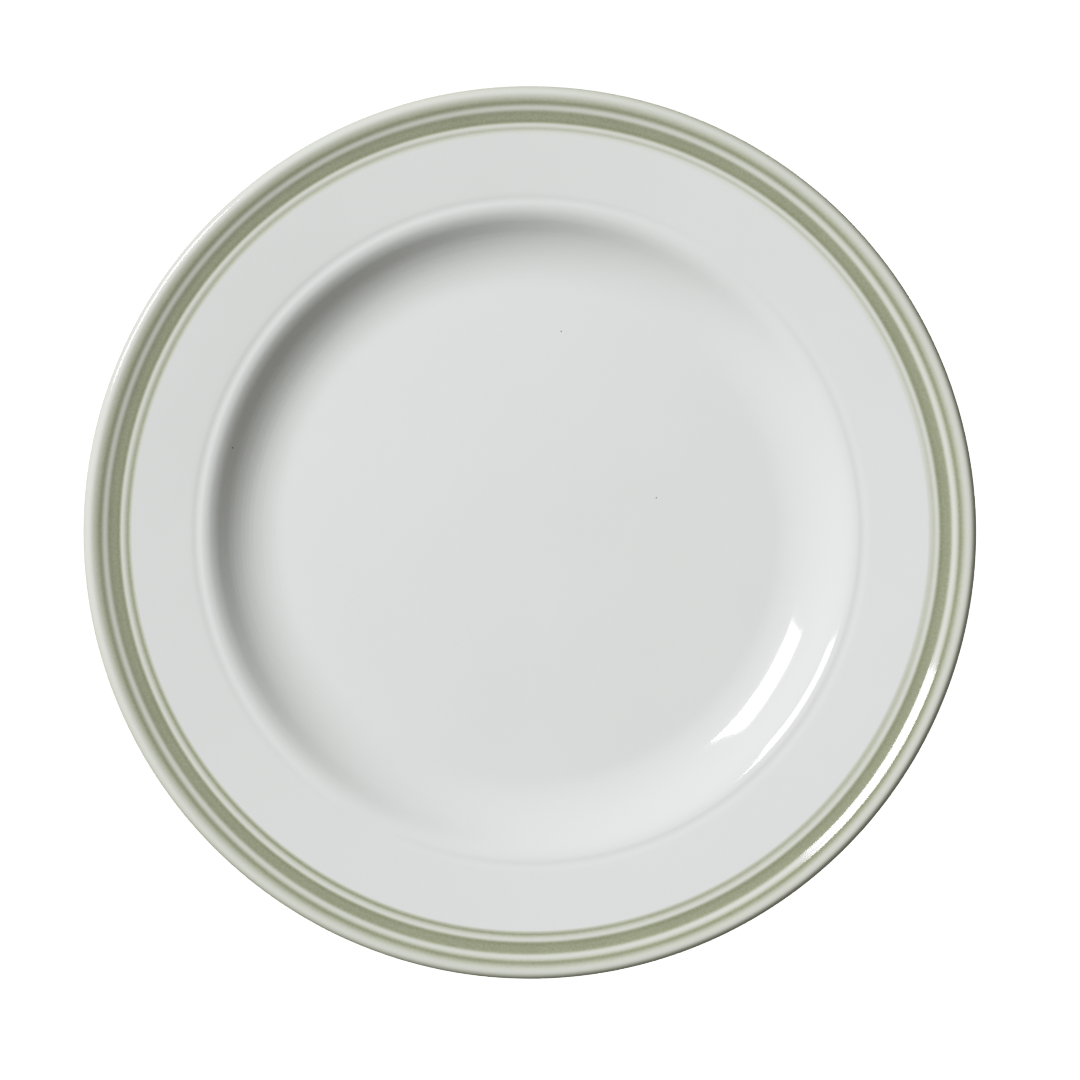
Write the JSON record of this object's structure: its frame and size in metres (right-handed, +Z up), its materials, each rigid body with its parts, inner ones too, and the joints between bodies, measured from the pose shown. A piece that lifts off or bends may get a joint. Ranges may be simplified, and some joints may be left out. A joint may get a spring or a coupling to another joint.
{
  "type": "dinner plate",
  "caption": "Round rimmed china dinner plate with a flat well, a foot ring and three embossed green-glazed rings round its rolled edge.",
  "frame": {"origin": "centre of the plane that the foot ring stands on", "axes": "+Z up along the plate's axis of turning, out of the well; X and Y are any two square directions, because the plate is round"},
  "size_m": [0.27, 0.27, 0.0248],
  "materials": {
    "biscuit": "matte",
    "clear_glaze": "gloss",
    "green_glaze": "gloss",
    "thin_glaze": "gloss"
  },
  "bodies": {
    "root": {"porcelain_body": "biscuit", "clear_glaze_face": "clear_glaze", "green_glaze_line": "green_glaze", "ridge_glaze_inner": "thin_glaze", "green_glaze_band": "green_glaze", "ridge_glaze_outer": "thin_glaze", "green_glaze_edge": "green_glaze", "clear_glaze_back": "clear_glaze", "clear_glaze_recess": "clear_glaze"}
  },
  "joints": []
}
